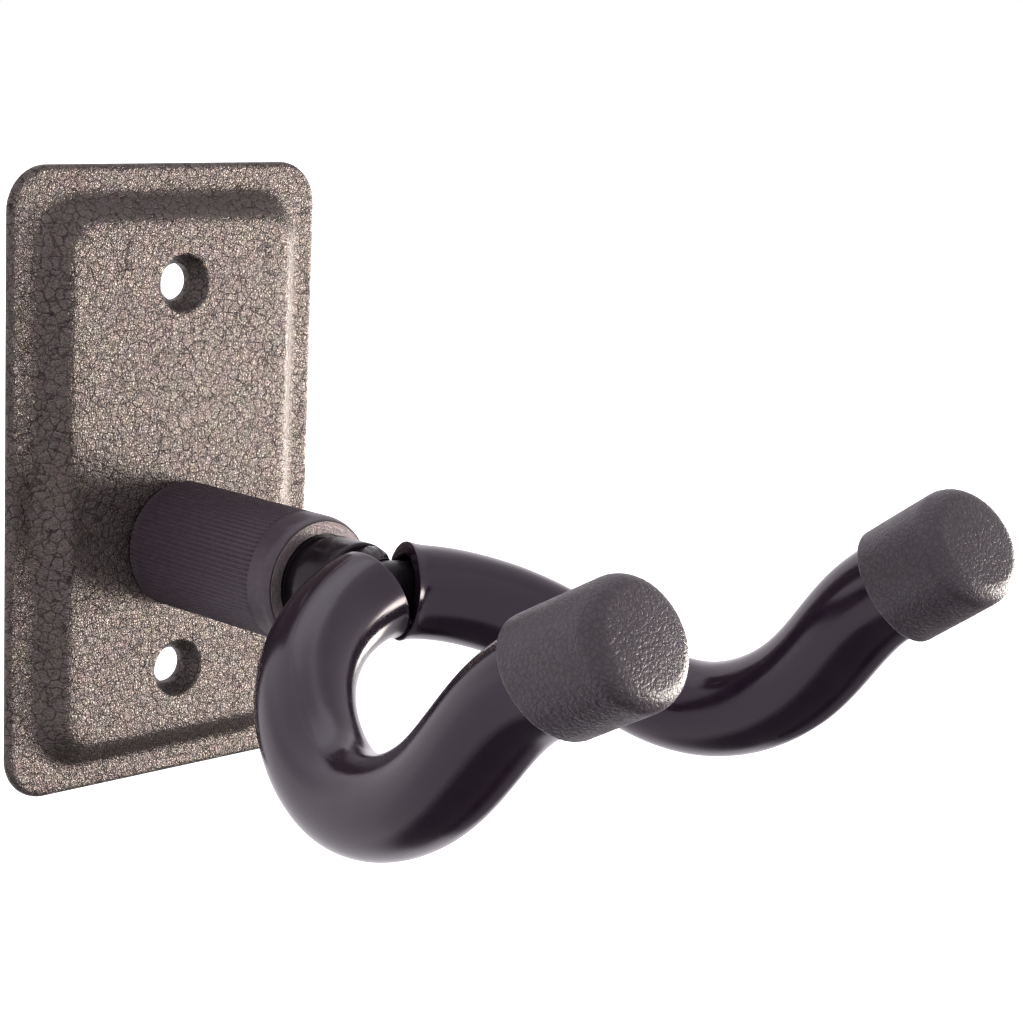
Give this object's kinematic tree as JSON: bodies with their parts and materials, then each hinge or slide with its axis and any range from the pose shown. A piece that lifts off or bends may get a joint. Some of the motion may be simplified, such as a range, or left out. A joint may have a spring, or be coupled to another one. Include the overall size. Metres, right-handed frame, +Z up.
{
  "type": "wall guitar hanger",
  "caption": "Wall-mounted guitar hanger: formed steel plate, ribbed standoff and a swivelling U-shaped cradle of padded bent rod with rubber end caps.",
  "frame": {"origin": "middle of the wall plate's outline, on the wall plane, where the wall holds the part", "axes": "+X to the right when facing the wall, +Y into the wall, +Z up; the hanger reaches out along -Y"},
  "size_m": [0.087, 0.1425, 0.1016],
  "materials": {
    "hammertone_paint": "crackled taupe over black, satin",
    "ribbed_plastic": "black, fine lengthwise ribs, satin",
    "black_nylon": "black, smooth",
    "natural_nylon": "off-white, smooth",
    "gloss_black_paint": "gloss black",
    "weld_bead": "rough bead, painted over",
    "zinc_steel": "zinc plated",
    "black_vinyl": "smooth, glossy black tubing",
    "grained_rubber": "black, fine leather-like grain"
  },
  "bodies": {
    "base": {"wall_plate": "hammertone_paint", "standoff_tube": "hammertone_paint", "standoff_weld": "weld_bead", "ribbed_sleeve": "ribbed_plastic", "front_bushing": "black_nylon", "rear_bushing": "black_nylon"},
    "yoke": {"swivel_spindle": "gloss_black_paint", "thrust_washer": "natural_nylon", "retaining_washer": "zinc_steel", "retaining_screw": "zinc_steel", "yoke_rod": "gloss_black_paint", "yoke_weld": "weld_bead", "left_tube": "black_vinyl", "right_tube": "black_vinyl", "left_end_cap": "grained_rubber", "right_end_cap": "grained_rubber"}
  },
  "joints": [
    {"name": "yoke_swivel", "type": "hinge", "parent": "base", "child": "yoke", "pos_m": [0, -0.04, -0.01072], "axis": [0, -1, 0], "continuous": true}
  ]
}
